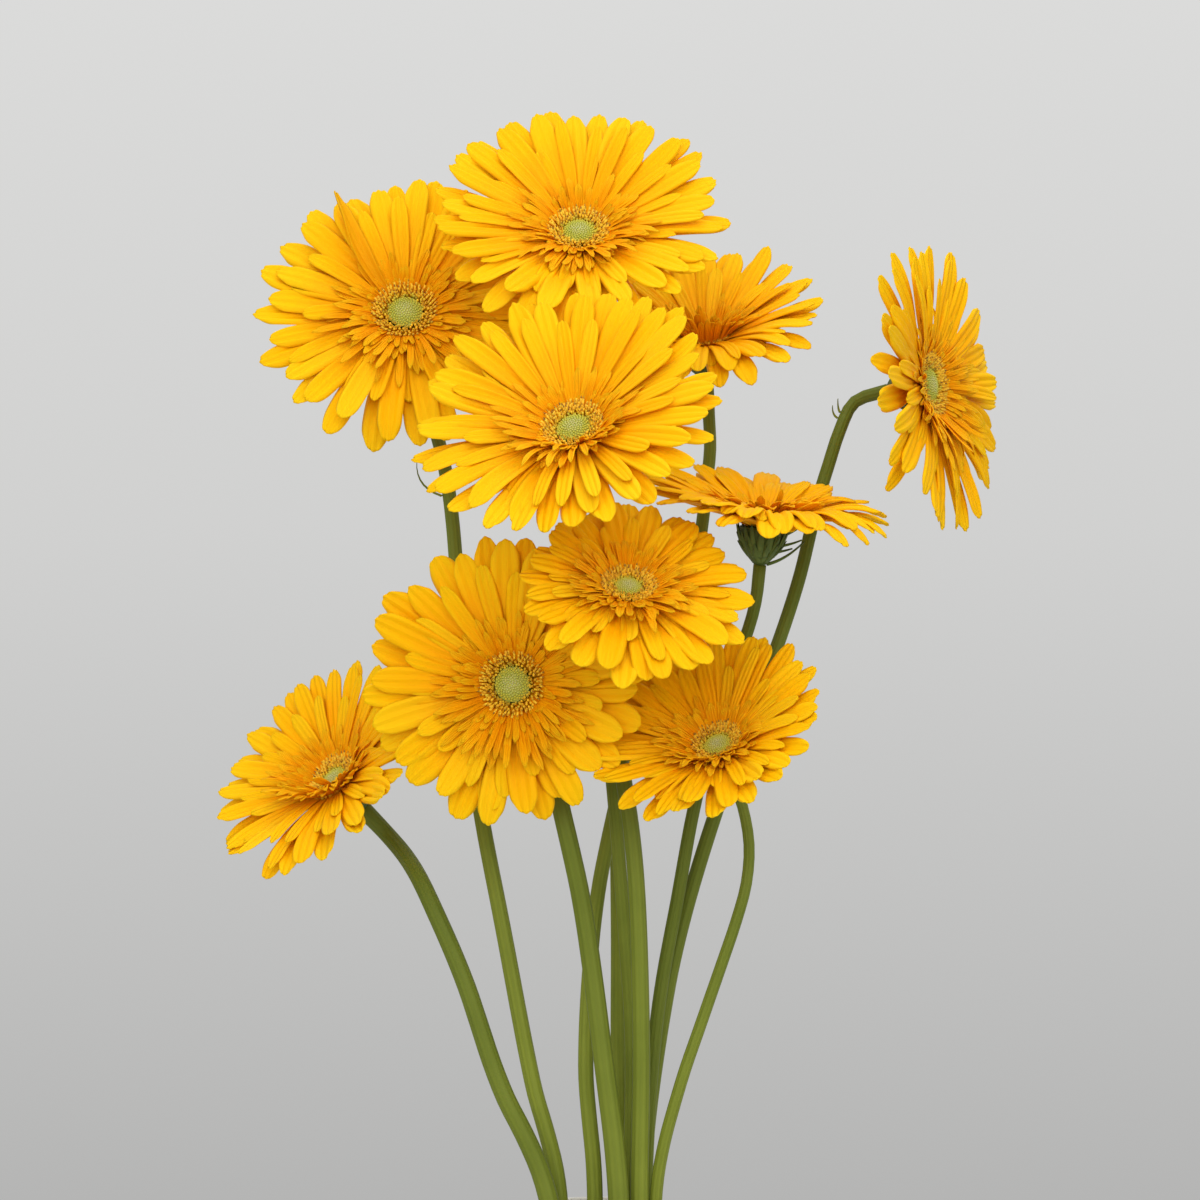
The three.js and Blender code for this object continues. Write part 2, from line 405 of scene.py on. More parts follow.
# %% Stem and calyx greens
def green_finish(name, pale, deep_and_shade_green, ribs, rib_share):
    """A green darkened upward, towards the head, by painted shade, and deepened along its ribs; a high tint
    makes all of it deeper.
    """
    paint = Paint(name)
    uv, around, along = paint.place()
    patches = paint.noise(paint.object_place(), 34.0, 3.0)
    fibres = paint.noise(paint.stretch(uv, (ribs, 9.0, 1.0)), 1.0, 3.0, 0.65)
    ridges = ((around * (FULL_TURN * ribs)).sine() + 1) * 0.5
    # painted shade: the green darkens towards the head, where the head shades it
    body = paint.mix(along.step(0.2, 1.0) * 0.55 + (patches - 0.5) * 0.7, pale, deep_and_shade_green)
    body = paint.mix(ridges * rib_share + fibres.step(0.5, 0.8) * 0.25, body, deep_and_shade_green)
    body = paint.mix(paint.tint().step(0.3, 1.0) * 0.45, body, deep_and_shade_green)
    return paint.coat(
        Base_Color=body,
        Roughness=0.5 + patches * 0.2,
        Normal=paint.bump(ridges * 0.6 + fibres, 0.35 * MM, 0.6),
        Subsurface_Weight=0.06,
        Subsurface_Radius=(0.6, 1.0, 0.2),
        Subsurface_Scale=1.0 * MM,
        Specular_IOR_Level=0.2,
    )


stem_finish = green_finish("stem_green", pale=(0.25, 0.29, 0.03), deep_and_shade_green=(0.07, 0.10, 0.007),
                           ribs=11.0, rib_share=0.16)
calyx_finish = green_finish("calyx_green", pale=(0.11, 0.16, 0.03), deep_and_shade_green=(0.035, 0.06, 0.009),
                            ribs=1.0, rib_share=0.1)
print("green finishes ready")

# %% [markdown]
# ## Ray florets
# A ray floret is a strap: narrow where it leaves the head, widest at two thirds, round at the tip
# with two small notches, and grooved along its length. Gravity and age bend it, so each one gets
# its own cup, tip bend, twist and sideways sweep. They grow in three rows, each lying on the last.
# A floret is a grid whose rows follow a bent line and whose columns follow its section.

# %% One floret
PLAIN_STRAP = {
    "base": 0.0,  # the pitch, in radians, at which it leaves the head
    "cup": 0.0,  # the pitch it settles to
    "tip": 0.0,  # how much the pitch changes by the tip
    "twist": 0.0,  # how far it is turned about its own line by the tip, in radians
    "sweep": 0.0,  # how far the tip drifts sideways, as a share of the length
    "channel": 0.15,  # how high the edges stand, as a share of half the width
    "groove": 0.03,  # how high the ribs between the grooves stand, likewise
    "notch": 0.02,  # how deep the notches are, as a share of the length
    "claw": 0.34,  # how wide it is where it leaves the head, as a share of the width
    "round": 0.05,  # how far the tip's corners are drawn back, as a share of the length
}
LINE_STEPS = 24  # steps along a floret's bent line
FULL_WIDTH_FROM = 0.6  # as a share of the way along
TIP_FROM = 0.76
TIP_LOSS = 0.58  # how much of the width's square is lost at the very tip
TIP_CROWDING = 1.5  # above 1, the rows of cells lie closer together towards the tip


class Floret:
    """A strap that leaves the head at an angle, follows a bent line and has a section of its own."""

    def __init__(self, head, angle, start, height, length, width, **bends):
        self.head = head
        self.out, self.side = head.spoke(angle)
        self.length, self.width = length, width
        self.bends = {**PLAIN_STRAP, **bends}
        self.line = self.follow(start, height)

    def pitch(self, along):
        """How steeply the line climbs from the head's plane, in radians."""
        bends = self.bends
        settled = blend(bends["base"], bends["cup"], smooth(0.0, 0.4, along))
        return settled + bends["tip"] * smooth(0.45, 1.0, along)

    def follow(self, start, height):
        """The bent line, as distances from the axis and heights above the head's plane."""
        stride = self.length / LINE_STEPS
        points = [(start, height)]
        for i in range(LINE_STEPS):
            pitch = self.pitch((i + 0.5) / LINE_STEPS)
            r, z = points[-1]
            points.append((r + math.cos(pitch) * stride, z + math.sin(pitch) * stride))
        return points

    def at(self, along):
        """The distance and height on the line at a share of its length."""
        spot = min(0.9999, max(0.0, along)) * (len(self.line) - 1)
        i = int(spot)
        (r0, z0), (r1, z1) = self.line[i], self.line[i + 1]
        return blend(r0, r1, spot - i), blend(z0, z1, spot - i)

    def half_width(self, along):
        swell = blend(self.bends["claw"], 1.0, smooth(0.0, FULL_WIDTH_FROM, along))
        tip = max(0.0, (along - TIP_FROM) / (1 - TIP_FROM))
        return self.width / 2 * swell * math.sqrt(1 - TIP_LOSS * tip ** 3)

    def place(self, u, v):
        """Where the corner u across and v along the flat strap goes."""
        bends = self.bends
        across = 2 * u - 1
        v = 1 - (1 - v) ** TIP_CROWDING
        near_tip = smooth(0.8, 1.0, v)
        wave = math.cos(3 * math.pi * across)
        notched = bends["notch"] * (1 - wave) / 2
        along = v - near_tip * (bends["round"] * across * across + notched)
        r, z = self.at(along)
        pitch = self.pitch(along)
        turn = bends["twist"] * smooth(0.15, 1.0, along)
        half = self.half_width(v)
        fold = bends["channel"] * half * across * across * (1 - 0.5 * near_tip)
        ribs = bends["groove"] * half * wave * smooth(0.05, 0.4, v)
        sideways, lift = half * across, fold + ribs
        sideways, lift = (sideways * math.cos(turn) - lift * math.sin(turn),
                          sideways * math.sin(turn) + lift * math.cos(turn))
        sideways += bends["sweep"] * self.length * along * along
        r -= lift * math.sin(pitch)
        z += lift * math.cos(pitch)
        return self.head.centre + self.out * r + self.side * sideways + self.head.axis * z


# %% [markdown]
# Each flower has its own habit: how many florets, how wide, how much the tips fall back. These few
# numbers, and a seed, are all that makes one flower differ from the next.
# - count and width: the florets in a row, and the width of a broad one in mm
# - tip and hang: degrees by which the tips bend up, and by which the lowest ones hang further
# - spread: degrees within which the florets' rise varies
# - long_side: a direction in degrees round the head, counted from its right, and the share by which
#   the florets opposite are shorter, or longer where it is below zero
# - shift: how far the row is turned, as a share of one floret
# - ruff: degrees by which the tuft stands up more at the sides, none at the top and twice at the foot
# - folded: the direction of one old floret that has folded over, its turned back painted brown as shade

# %% The flowers' habits
HABITS = {
    "01": {"count": 22, "width": 9.8, "tip": -2, "hang": 12, "spread": 6,
           "long_side": (270, -0.08), "shift": 0.1, "ruff": 5},
    "02": {"count": 20, "width": 10.4, "tip": -9, "hang": 10, "spread": 8,
           "long_side": (250, 0.02), "shift": 0.3, "ruff": 4, "folded": 133},
    "03": {"count": 20, "width": 8.8, "tip": -3, "hang": 45, "spread": 7,
           "long_side": (0, 0.03), "shift": 0.5, "ruff": 20},
    "04": {"count": 22, "width": 9.6, "tip": -3, "hang": 12, "spread": 7,
           "long_side": (310, -0.1), "shift": 0.2, "ruff": 9},
    "05": {"count": 20, "width": 9.4, "tip": -11, "hang": 4, "spread": 9,
           "long_side": (270, 0.04), "shift": 0.7, "ruff": 5},
    "06": {"count": 19, "width": 10.2, "tip": -9, "hang": 44, "spread": 7,
           "long_side": (0, 0.0), "shift": 0.4, "ruff": 5},
    "07": {"count": 16, "width": 10.4, "tip": -8, "hang": 12, "spread": 8,
           "long_side": (-40, 0.16), "shift": 0.6, "ruff": 9},
    "08": {"count": 18, "width": 11.2, "tip": -6, "hang": 6, "spread": 8,
           "long_side": (145, 0.13), "shift": 0.25, "ruff": 4},
    "09": {"count": 20, "width": 8.8, "tip": -7, "hang": 6, "spread": 6,
           "long_side": (225, 0.04), "shift": 0.8, "ruff": 17},
    "10": {"count": 20, "width": 8.8, "tip": -7, "hang": 6, "spread": 6,
           "long_side": (190, 0.06), "shift": 0.15, "ruff": 8},
}


def jitter(dice, amount):
    """A seeded number from -amount to amount."""
    return dice.uniform(-amount, amount)


# %% The rows of rays
# Reach and width are shares of the head's radius and of the habit's width, height is in mm above
# the calyx, and rise and base are degrees, base being the extra rise where the floret starts. Spread
# is the share by which the reach varies.
RAY_ROWS = [
    {"reach": 1.0, "spread": 0.03, "width": 1.0, "height": 0.4, "rise": 0.0, "base": 8},
    {"reach": 0.95, "spread": 0.04, "width": 0.96, "height": 1.1, "rise": 3.0, "base": 12},
    {"reach": 0.76, "spread": 0.12, "width": 0.62, "height": 1.8, "rise": 5.0, "base": 14},
]
RAY_CELLS = (6, 9)  # across and along
RAY_START = 0.13  # where a ray leaves the head, as a share of its radius
BEND_SLACK = 1.06  # a bent floret is this much longer than its reach
TOP_CALM = 0.55  # the florets at the top of a head vary only this much
FLORET_WALL = 0.35 * MM


def fold_one(head, mesh, angle):
    """Adds one old floret above the rows: steeper, folded and twisted, its turned back painted brown as
    shade.
    """
    floret = Floret(
        head, angle, head.radius * RAY_START,
        height=2.4 * MM,
        length=head.radius * 0.87,
        width=9 * MM,
        base=head.cup(angle) + 0.3,
        cup=head.cup(angle) + 0.2,
        twist=1.1,
        sweep=-0.22,
        channel=0.6,
        groove=0.1,
    )
    # its tint is above the mark, so it gets the painted brown shade
    bend_grid(mesh, *RAY_CELLS, floret.place, FOLD_SHADE_FROM + 0.22)


def grow_rays(head):
    """Three rows of bent rays, as one piece."""
    habit = HABITS[head.name]
    dice = random.Random(f"rays {head.name}")
    mesh = start_mesh()
    towards = math.radians(habit["long_side"][0])
    shorter = habit["long_side"][1]
    start = head.radius * RAY_START
    for order, row in enumerate(RAY_ROWS):
        for i in range(habit["count"]):
            turn = (i + habit["shift"] + order * 0.5) / habit["count"]
            angle = turn * FULL_TURN + jitter(dice, 0.05)
            calm = blend(1.0, TOP_CALM, (1 + math.sin(angle)) / 2)
            reach = head.radius * row["reach"] * (1 + shorter * (math.cos(angle - towards) - 1) / 2)
            cup = head.cup(angle) + math.radians(row["rise"] + jitter(dice, habit["spread"] / 2) * calm)
            hang = habit["hang"] * ((1 - math.sin(angle)) / 2) ** 2
            bent = math.radians(habit["tip"] - hang + jitter(dice, 14) * calm)
            flat_length = reach * (1 + jitter(dice, row["spread"])) - start
            floret = Floret(
                head, angle, start,
                height=(row["height"] + 0.5 * (i % 2)) * MM,
                length=flat_length / max(0.8, math.cos(cup)) * BEND_SLACK,
                width=habit["width"] * row["width"] * MM * (1 + jitter(dice, 0.1)),
                base=cup + math.radians(row["base"]),
                cup=cup,
                tip=bent,
                twist=math.radians(jitter(dice, 15) * calm),
                sweep=jitter(dice, 0.05),
                channel=0.16 + jitter(dice, 0.18),
                groove=0.2 + jitter(dice, 0.07),
                notch=0.02 + jitter(dice, 0.012),
                round=0.05 + jitter(dice, 0.02),
            )
            bend_grid(mesh, *RAY_CELLS, floret.place, dice.random())
    if "folded" in habit:
        fold_one(head, mesh, math.radians(habit["folded"]))
    keep(f"rays_of_{head.name}", mesh, ray_finish, [f"rays_{head.name}"], FLORET_WALL, 1)


for head in heads.values():
    grow_rays(head)
print("rays grown")

# %% [markdown]
# ## The tuft
# Inside the rays stands a ruff of short narrow florets, five untidy rows that get shorter and
# steeper towards the eye. They are the same strap with fewer cells, a deep channel and a rounder
# tip. They are so thin that subsurface would turn their edges green, so they go without it.

# %% Five rows of short florets
# Reach and start are shares of the head's radius, width and height are in mm, rise is in degrees.
TUFT_ROWS = [
    {"count": 36, "reach": 0.58, "start": 0.18, "width": 2.7, "rise": 7, "height": 2.4},
    {"count": 40, "reach": 0.51, "start": 0.185, "width": 2.5, "rise": 10, "height": 2.8},
    {"count": 40, "reach": 0.44, "start": 0.19, "width": 2.3, "rise": 14, "height": 3.1},
    {"count": 36, "reach": 0.36, "start": 0.195, "width": 2.0, "rise": 19, "height": 3.4},
    {"count": 32, "reach": 0.285, "start": 0.2, "width": 1.7, "rise": 26, "height": 3.7},
]
TUFT_CELLS = (2, 6)  # across and along


def grow_tuft(head):
    """Five rows of short florets, a little longer and steeper on the low side, as one piece."""
    dice = random.Random(f"tuft {head.name}")
    mesh = start_mesh()
    for row in TUFT_ROWS:
        for i in range(row["count"]):
            angle = (i + jitter(dice, 0.35)) / row["count"] * FULL_TURN
            start = head.radius * row["start"]
            reach = head.radius * row["reach"] * (0.93 - 0.13 * math.sin(angle) + jitter(dice, 0.16))
            lifted = row["rise"] + HABITS[head.name]["ruff"] * (1 - math.sin(angle)) + jitter(dice, 8)
            cup = head.cup(angle) + math.radians(lifted)
            floret = Floret(
                head, angle, start,
                height=row["height"] * MM,
                length=(reach - start) * 1.08,
                width=row["width"] * MM * (1 + jitter(dice, 0.2)),
                base=cup + math.radians(14),
                cup=cup,
                tip=math.radians(jitter(dice, 30) - 8),
                twist=math.radians(jitter(dice, 26)),
                sweep=jitter(dice, 0.12),
                channel=0.55 + jitter(dice, 0.2),
                groove=0.0,
                notch=0.02,
                claw=0.55,
                round=0.1,
            )
            bend_grid(mesh, *TUFT_CELLS, floret.place, dice.random())
    keep(f"tuft_of_{head.name}", mesh, tuft_finish, [f"tuft_{head.name}"], FLORET_WALL, 1)


for head in heads.values():
    grow_tuft(head)
print("tufts grown")

# %% [markdown]
# ## The eye
# The middle is a low dome of closed green buds, set in the crossing spirals that every daisy has:
# each bud is turned on from the last by the golden angle. Round it stand six rings of open gold
# florets, each a small cone that widens upward, most with a brown anther on top.

# %% The dome's shape, and how small things sit on it
DOME_RADIUS = 0.12  # this and the next two are shares of the head's radius
DOME_FALL = 0.125  # the distance over which the dome falls away
DOME_RISE = 0.034
DOME_FOOT = 3.4 * MM


def eye_height(head, r):
    """The dome's height above the calyx at a distance from its middle."""
    share = r / (head.radius * DOME_FALL)
    return DOME_FOOT + head.radius * DOME_RISE * max(0.0, 1 - share * share * 0.9)


def seat_matrix(head, angle, r, height, lean):
    """Places something small on the head, leaning outward."""
    out, side = head.spoke(angle)
    normal = (head.axis + out * lean).normalized()
    forward = side.cross(normal)
    turn = Matrix((forward, side, normal)).transposed().to_4x4()
    turn.translation = head.centre + out * r + head.axis * height
    return turn


def tint_all(mesh, verts, tint):
    layer = mesh.verts.layers.float["tint"]
    for vert in verts:
        vert[layer] = tint


# %% Buds on the dome, and the gold rings round it
GOLDEN_ANGLE = math.pi * (3 - math.sqrt(5))
BUDS = 130
BUD_SIZES = (0.36 * MM, 0.52 * MM)  # in the middle and at the dome's edge
# How many open florets stand in each ring, and the ring's radius as a share of the head's.
OPEN_RINGS = [(34, 0.124), (34, 0.138), (36, 0.153), (40, 0.169), (42, 0.186), (44, 0.203)]
ANTHER_HEIGHT = 1.0 * MM
ANTHER_SHARE = 0.7  # how many of the open florets carry an anther


def open_floret(mesh, head, dice, ring, angle, r):
    """One open floret, leaning out more in the outer rings, and perhaps its anther."""
    tall = (1.5 + ring * 0.3 + jitter(dice, 0.5)) * MM
    seat = seat_matrix(head, angle, r, 3.2 * MM + tall / 2, 0.15 + ring * 0.16 + jitter(dice, 0.15))
    tube = bmesh.ops.create_cone(mesh, cap_ends=True, segments=5, radius1=0.25 * MM,
                                 radius2=0.52 * MM, depth=tall, matrix=seat)["verts"]
    tint_all(mesh, tube, min(0.62, 0.46 + ring * 0.08) + jitter(dice, 0.12))
    if dice.random() < ANTHER_SHARE:
        above = seat.copy()
        above.translation = seat.translation + seat.col[2].to_3d() * (tall / 2 + 0.4 * MM)
        anther = bmesh.ops.create_cone(mesh, cap_ends=True, segments=4, radius1=0.34 * MM,
                                       radius2=0.16 * MM, depth=ANTHER_HEIGHT, matrix=above)["verts"]
        tint_all(mesh, anther, 0.88 + jitter(dice, 0.12))


def grow_eye(head):
    """The dome, its buds and the rings of open florets, as one piece."""
    dice = random.Random(f"eye {head.name}")
    mesh = start_mesh()
    dome = head.radius * DOME_RADIUS

    def dome_place(u, v):
        out, _ = head.spoke(u * FULL_TURN)
        r = dome * v
        return head.centre + out * r + head.axis * (eye_height(head, r) - 0.3 * MM)

    bend_grid(mesh, 24, 6, dome_place, 0.2)
    for i in range(BUDS):
        share = math.sqrt((i + 0.5) / BUDS)
        r = dome * 0.93 * share
        seat = seat_matrix(head, i * GOLDEN_ANGLE, r, eye_height(head, r), share * 0.5)
        size = blend(*BUD_SIZES, share)
        bud = bmesh.ops.create_uvsphere(mesh, u_segments=6, v_segments=4, radius=size, matrix=seat)["verts"]
        tint_all(mesh, bud, blend(0.0, 0.36, share ** 1.5) + jitter(dice, 0.05))
    for ring, (count, place) in enumerate(OPEN_RINGS):
        for i in range(count):
            angle = (i + ring * 0.5 + jitter(dice, 0.3)) / count * FULL_TURN
            open_floret(mesh, head, dice, ring, angle, head.radius * (place + jitter(dice, 0.008)))
    bmesh.ops.remove_doubles(mesh, verts=mesh.verts, dist=WELD / 10)
    keep(f"eye_of_{head.name}", mesh, eye_finish, [f"eye_{head.name}"])


for head in heads.values():
    grow_eye(head)
print("eyes grown")

# %% [markdown]
# ## The calyx
# From behind, a gerbera shows a green cup of narrow pointed bracts that overlap like tiles. The
# cup is a grid rolled round the axis, and each bract is a small strap laid along it.

# %% The cup's radius
def cup_radius(head, stem_radius, v):
    """The cup's radius from the stem, v 0, to the rim, v 1."""
    belly = head.calyx_radius * (0.3 + 0.7 * math.sin(v * math.pi / 2) ** 0.8)
    return blend(stem_radius * 0.8, belly, smooth(0.0, 0.25, v))


# %% Threads and loose bracts
def lay_thread(mesh, near, middle, far, girth):
    """A thin thread from near to far that bends towards middle and tapers."""
    side = (far - near).cross(Vector((0, 1, 0))).normalized()

    def thread_place(u, v):
        here = near * (1 - v) ** 2 + middle * 2 * v * (1 - v) + far * v * v
        way = ((middle - near) * (1 - v) + (far - middle) * v).normalized()
        angle = u * FULL_TURN
        round_it = side * math.cos(angle) + way.cross(side) * math.sin(angle)
        return here + round_it * girth * (1.04 - 0.75 * v)

    bend_grid(mesh, 5, 7, thread_place, 0.4)


# Bracts that stand off a calyx. Each has a direction in degrees, how far out and how far up it ends
# in mm, and where it starts, as a share of the calyx's depth below its rim.
LOOSE_BRACTS = {
    "06": [(-12, 12, 7, 0.25), (-28, 10, 3, 0.5), (-2, 9, 2, 0.7), (-16, 15, 9, 1.0)],
    "05": [(200, 6, -2, 0.8), (120, 7, 0, 0.6)],
    "03": [(-30, 9, 2, 0.5)],
}


# %% The cup and its bracts
# How many bracts a row has, and where they start and end up the cup, 0 the stem and 1 the rim.
BRACT_ROWS = [(13, 0.02, 0.62), (15, 0.2, 0.86), (17, 0.36, 1.1)]
BRACT_HALF_WIDTH = 1.5 * MM
BRACT_WALL = 0.3 * MM


def grow_calyx(head):
    """The cup, its three rows of bracts and its loose ones, as one piece."""
    dice = random.Random(f"calyx {head.name}")
    stem_radius = lines[head.name][1]
    mesh = start_mesh()

    def cup_place(u, v):
        out, _ = head.spoke(u * FULL_TURN)
        r = cup_radius(head, stem_radius, v) * 0.93
        return head.centre + out * r + head.axis * (-head.depth * (1 - v))

    bend_grid(mesh, 20, 6, cup_place, 0.5)
    for row, (count, low, high) in enumerate(BRACT_ROWS):
        for i in range(count):
            angle = (i + 0.5 * row + jitter(dice, 0.15)) / count * FULL_TURN
            top = high + jitter(dice, 0.06)
            loose = (0.5 + 0.9 * dice.random()) * MM

            def bract_place(u, v, angle=angle, low=low, top=top, loose=loose):
                across = 2 * u - 1
                climb = blend(low, top, v)
                out, side = head.spoke(angle)
                half = BRACT_HALF_WIDTH * math.sqrt(max(0.0, 1 - v)) * (0.75 + 0.25 * v) + 0.12 * MM
                r = cup_radius(head, stem_radius, min(1.0, climb)) * 0.96
                r += loose * v * v + 0.35 * MM * (1 - across * across)
                height = -head.depth * (1 - climb)
                return head.centre + out * r + side * (half * across) + head.axis * height

            bend_grid(mesh, 2, 4, bract_place, dice.random())
    for angle, outward, upward, low in LOOSE_BRACTS.get(head.name, []):
        out, side = head.spoke(math.radians(angle))
        near = head.centre + out * (head.calyx_radius * (0.85 - 0.55 * low)) - head.axis * (head.depth * low)
        middle = near + out * (outward * 0.5 * MM) + head.axis * (upward * 0.2 * MM)
        far = near + out * (outward * MM) + head.axis * (upward * MM) + side * (jitter(dice, 2) * MM)
        lay_thread(mesh, near, middle, far, girth=0.7 * MM)
    bmesh.ops.remove_doubles(mesh, verts=mesh.verts, dist=WELD)
    keep(f"calyx_of_{head.name}", mesh, calyx_finish, [f"calyx_{head.name}"], BRACT_WALL, 1)


for head in heads.values():
    grow_calyx(head)
print("calyces grown")

# %% [markdown]
# ## Stems
# A gerbera's stem is a leafless, faintly ribbed, hairy tube that is stoutest low down. It could be
# a bevelled curve, but a grid rolled round the centre line carries its own map of around and
# along, which the ribs and the painted shade that darkens the green towards the head follow.

# %% A smooth line through the ring centres
def on_line(points, share):
    """A point on a smooth line through the points, share 0 to 1, and the way it runs there."""
    spot = min(0.99999, max(0.0, share)) * (len(points) - 1)
    i = int(spot)
    t = spot - i
    b, c = points[i], points[i + 1]
    a = points[i - 1] if i else b * 2 - c
    d = points[i + 2] if i + 2 < len(points) else c * 2 - b
    here = (b * 2 + (c - a) * t + (a * 2 - b * 5 + c * 4 - d) * t * t
            + (b * 3 - a - c * 3 + d) * t * t * t) / 2
    way = (c - a) + (a * 2 - b * 5 + c * 4 - d) * 2 * t + (b * 3 - a - c * 3 + d) * 3 * t * t
    return here, way.normalized()


# %% Ribbed, tapering stems
# Thin bracts on a neck: the share of the way along the stem, and how far off and up they reach in mm.
STEM_THREADS = {"02": [(0.86, 11, 14)], "05": [(0.955, 2.5, 5), (0.96, 1.2, 5.5)]}
STEM_SIDES = 14
ROWS_A_RING = 3
STEM_RIBS = 7
RIB_HEIGHT = 0.018  # as a share of the stem's radius
STEM_TAPER = 0.3  # how much of the radius is lost from the foot to the neck


def grow_stem(head):
    """A ribbed tube round the stem's line, closed at both ends, with any threads on its neck."""
    points, radius = lines[head.name]
    mesh = start_mesh()
    rows = (len(points) - 1) * ROWS_A_RING
    frames = []
    side = Vector((1, 0, 0))
    for i in range(rows + 1):
        here, way = on_line(points, i / rows)
        side = (side - way * side.dot(way)).normalized()
        frames.append((here, side.copy(), way.cross(side)))

    def stem_place(u, v):
        here, side, other = frames[round(v * rows)]
        angle = u * FULL_TURN
        girth = radius * (1.06 - STEM_TAPER * v + 0.06 * smooth(0.96, 1.0, v))
        girth *= 1 + RIB_HEIGHT * math.cos(STEM_RIBS * angle)
        return here + (side * math.cos(angle) + other * math.sin(angle)) * girth

    bend_grid(mesh, STEM_SIDES, rows, stem_place, random.Random(f"stem {head.name}").random())
    for share, reach, rise in STEM_THREADS.get(head.name, []):
        here, _ = on_line(points, share)
        near = here + Vector((-radius * 0.8, -radius * 0.4, 0))
        middle = near + Vector((-reach * MM, 0, rise * 0.25 * MM))
        far = near + Vector((-reach * 0.9 * MM, -1 * MM, rise * MM))
        lay_thread(mesh, near, middle, far, girth=0.6 * MM)
    bmesh.ops.remove_doubles(mesh, verts=mesh.verts, dist=WELD)
    bmesh.ops.holes_fill(mesh, edges=[edge for edge in mesh.edges if edge.is_boundary], sides=0)
    bmesh.ops.recalc_face_normals(mesh, faces=mesh.faces)
    keep(f"stem_of_{head.name}", mesh, stem_finish, [f"stem_{head.name}"])


for head in heads.values():
    grow_stem(head)
print("stems grown")

# %% [markdown]
# ## The vase
# The solid is a polygon of revolution. Its outline is right but its facets would show, so the
# outline is taken from it and spun again in many small steps, and a subdivision rounds the lip
# and the foot.

# %% The outline of the solid
SAME_BEARING = 1e-3  # corners whose bearings differ by less, in radians, are on one outline


def vase_outline():
    """The solid's outline, from the middle of the underside out, up, in and down to the floor."""
    mesh = bmesh.new()
    mesh.from_mesh(nodes["vase"].data)
    bmesh.ops.remove_doubles(mesh, verts=mesh.verts, dist=WELD)
    start = min(mesh.verts, key=lambda vert: (round(vert.co.z, 6), vert.co.xy.length))
    first = max((edge.other_vert(start) for edge in start.link_edges), key=lambda vert: vert.co.x)
    bearing = math.atan2(first.co.y, first.co.x)

    def on_outline(vert):
        flat = vert.co.xy.length
        return flat < WELD or abs(math.atan2(vert.co.y, vert.co.x) - bearing) < SAME_BEARING

    line, seen = [start, first], {start, first}
    while line[-1].co.xy.length > WELD:
        ahead = [edge.other_vert(line[-1]) for edge in line[-1].link_edges]
        line.append(next(vert for vert in ahead if vert not in seen and on_outline(vert)))
        seen.add(line[-1])
    outline = [(vert.co.xy.length, vert.co.z) for vert in line]
    mesh.free()
    return outline


outline = vase_outline()
print("outline points:", len(outline), "mouth at", round(max(z for _, z in outline) / MM), "mm")


# %% The glaze
def glaze():
    """A pale glossy glaze with faint clouds, small brown specks and the rings of throwing."""
    paint = Paint("pale_glaze")
    place = paint.object_place()
    cloud = paint.noise(place, 14.0, 3.0)
    specks = paint.noise(place, 700.0, 1.0)
    rings = paint.noise(paint.stretch(place, (3.0, 3.0, 160.0)), 1.0, 2.0)
    body = paint.mix(cloud, (0.74, 0.72, 0.67), (0.68, 0.66, 0.60))
    body = paint.mix(specks.step(0.70, 0.78) * 0.5, body, (0.40, 0.34, 0.26))
    height = rings * 0.7 + cloud * 0.3
    return paint.coat(
        Base_Color=body,
        Roughness=0.2 + cloud * 0.15,
        Normal=paint.bump(height, 0.5 * MM, 0.35),
        Coat_Weight=0.3,
        Coat_Roughness=0.08,
    )


# %% Spinning the outline
VASE_STEPS = 72


def throw_vase():
    mesh = start_mesh()
    ring = [mesh.verts.new((r, 0.0, z)) for r, z in outline]
    edges = [mesh.edges.new(pair) for pair in zip(ring, ring[1:])]
    bmesh.ops.spin(mesh, geom=ring + edges, cent=(0, 0, 0), axis=(0, 0, 1), steps=VASE_STEPS,
                   angle=FULL_TURN, use_merge=True)
    bmesh.ops.remove_doubles(mesh, verts=mesh.verts, dist=WELD)
    bmesh.ops.recalc_face_normals(mesh, faces=mesh.faces)
    keep("thrown_vase", mesh, glaze(), ["vase"], levels=2)


throw_vase()
print("vase thrown")

# %% [markdown]
# ## Light, floor and camera
# The bunch is seen from straight ahead in soft daylight, against a plain pale grey that darkens a
# little downward. Three big round lights give it: a window at the front left, a weak fill at the
# front right and a sky above. The floor is a disc that fades out into the grey.

# %% The floor
FLOOR_RADIUS = 0.95
FLOOR_FADES = (0.5, 0.93)  # the distances, in metres, between which it fades out
FLOOR_DROP = 0.2 * MM  # it lies this far under the vase's foot


def lay_floor():
    mesh = start_mesh()
    bmesh.ops.create_circle(mesh, cap_ends=True, segments=64, radius=FLOOR_RADIUS)
    data = bpy.data.meshes.new("floor")
    mesh.to_mesh(data)
    mesh.free()
    paint = Paint("floor_grey")
    grain = paint.noise(paint.object_place(), 90.0, 3.0)
    distance = paint.node("ShaderNodeVectorMath", {"operation": "LENGTH"},
                          {0: paint.object_place()}, "Value")
    body = paint.mix(grain, (0.60, 0.60, 0.585), (0.62, 0.62, 0.605))
    data.materials.append(paint.coat(Base_Color=body, Roughness=0.8,
                                     Alpha=1 - distance.step(*FLOOR_FADES)))
    floor = bpy.data.objects.new("floor", data)
    floor.location.z = -FLOOR_DROP
    bpy.context.scene.collection.objects.link(floor)


lay_floor()
print("floor laid")


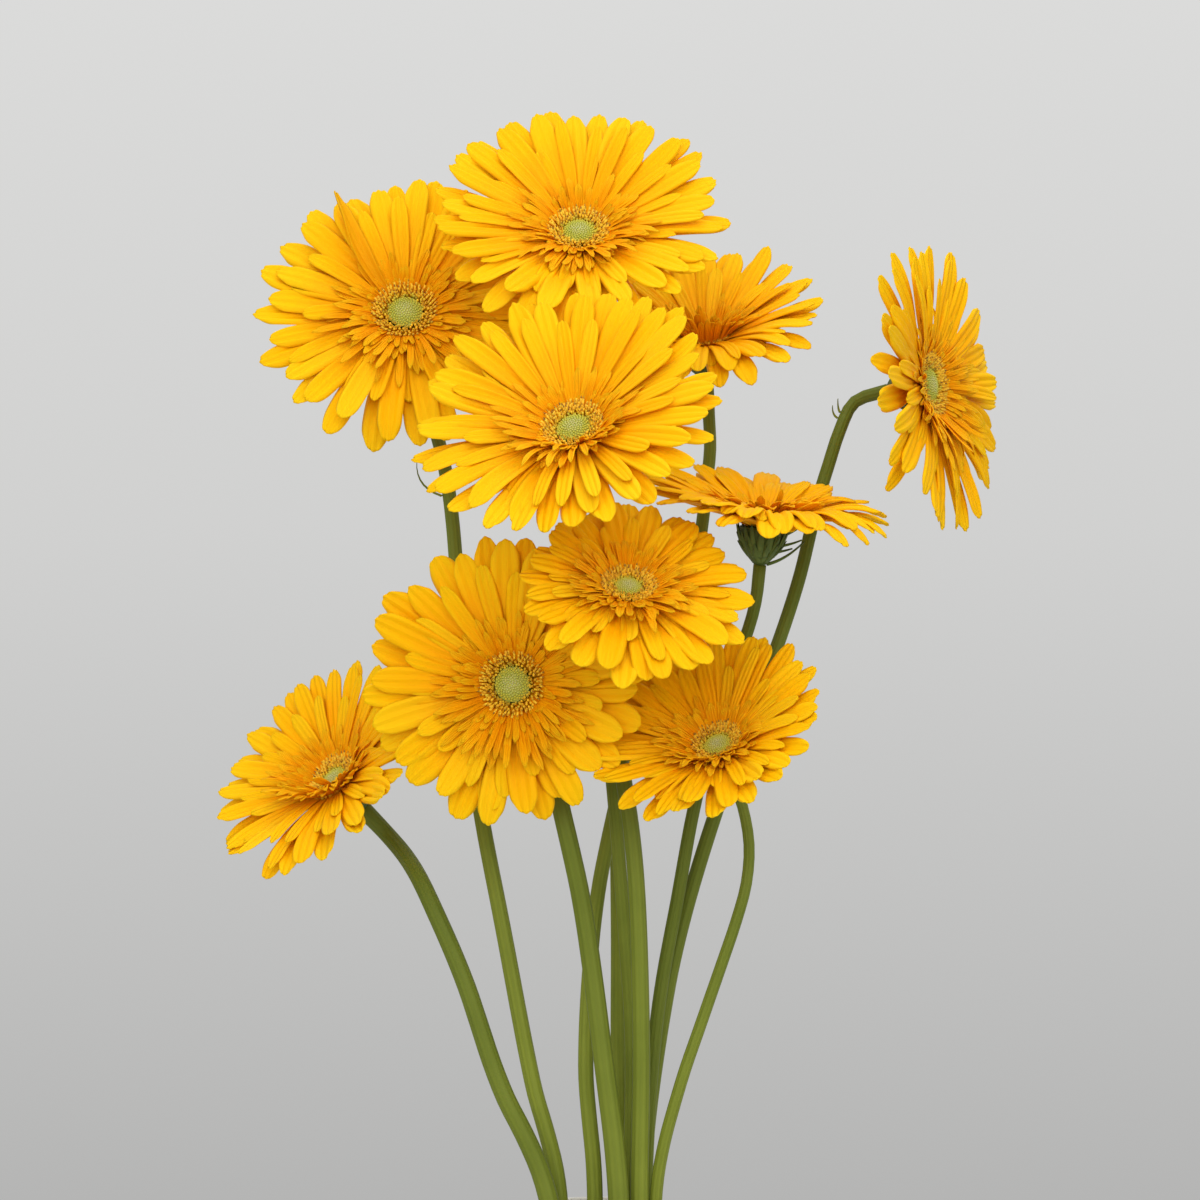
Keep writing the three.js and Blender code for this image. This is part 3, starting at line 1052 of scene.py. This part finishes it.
# %% Soft daylight
def soft_light(name, size, energy, place, target):
    """A round area light, its size in metres and its energy in watts."""
    lamp = bpy.data.lights.new(name, "AREA")
    lamp.shape, lamp.size, lamp.energy = "DISK", size, energy
    light = bpy.data.objects.new(name, lamp)
    light.location = place
    light.rotation_euler = (Vector(target) - Vector(place)).to_track_quat("-Z", "Y").to_euler()
    bpy.context.scene.collection.objects.link(light)


soft_light("window", 2.4, 25.0, (-0.4, -2.2, 1.2), (0, 0, 0.45))
soft_light("fill", 1.6, 6.0, (1.2, -1.7, 0.9), (0.06, 0, 0.5))
soft_light("sky", 2.0, 15.0, (0.2, -0.3, 2.2), (0, 0, 0.4))
print("lights placed")

# %% The pale grey room, darker low down
ROOM_GREYS = [(0.3, 0.44), (0.52, 0.635), (0.7, 0.72)]  # places from low to high, and their greys

world = bpy.data.worlds.new("pale_room")
bpy.context.scene.world = world
world.use_nodes = True
tree = world.node_tree
way = tree.nodes.new("ShaderNodeTexCoord")
split = tree.nodes.new("ShaderNodeSeparateXYZ")
shade = tree.nodes.new("ShaderNodeValToRGB")
level = tree.nodes.new("ShaderNodeMath")
level.operation = "ADD"
level.inputs[1].default_value = 0.5
stops = shade.color_ramp.elements
stops.new(0.5)
for element, (position, grey) in zip(stops, ROOM_GREYS):
    element.position = position
    element.color = (grey, grey, grey * 0.99, 1)
tree.links.new(way.outputs["Generated"], split.inputs[0])
tree.links.new(split.outputs[2], level.inputs[0])
tree.links.new(level.outputs[0], shade.inputs["Fac"])
tree.links.new(shade.outputs["Color"], tree.nodes["Background"].inputs["Color"])
bpy.context.scene.view_settings.view_transform = "Standard"


# %% The camera
lens = bpy.data.cameras.new("camera")
lens.lens, lens.sensor_width = 100.0, 36.0
camera = bpy.data.objects.new("camera", lens)
camera.location = (0.0, -1.266, 0.433)  # about level with the middle of the bunch above the rim
camera.rotation_euler = (math.pi / 2, 0, 0)
bpy.context.scene.collection.objects.link(camera)
bpy.context.scene.camera = camera
print("camera placed")
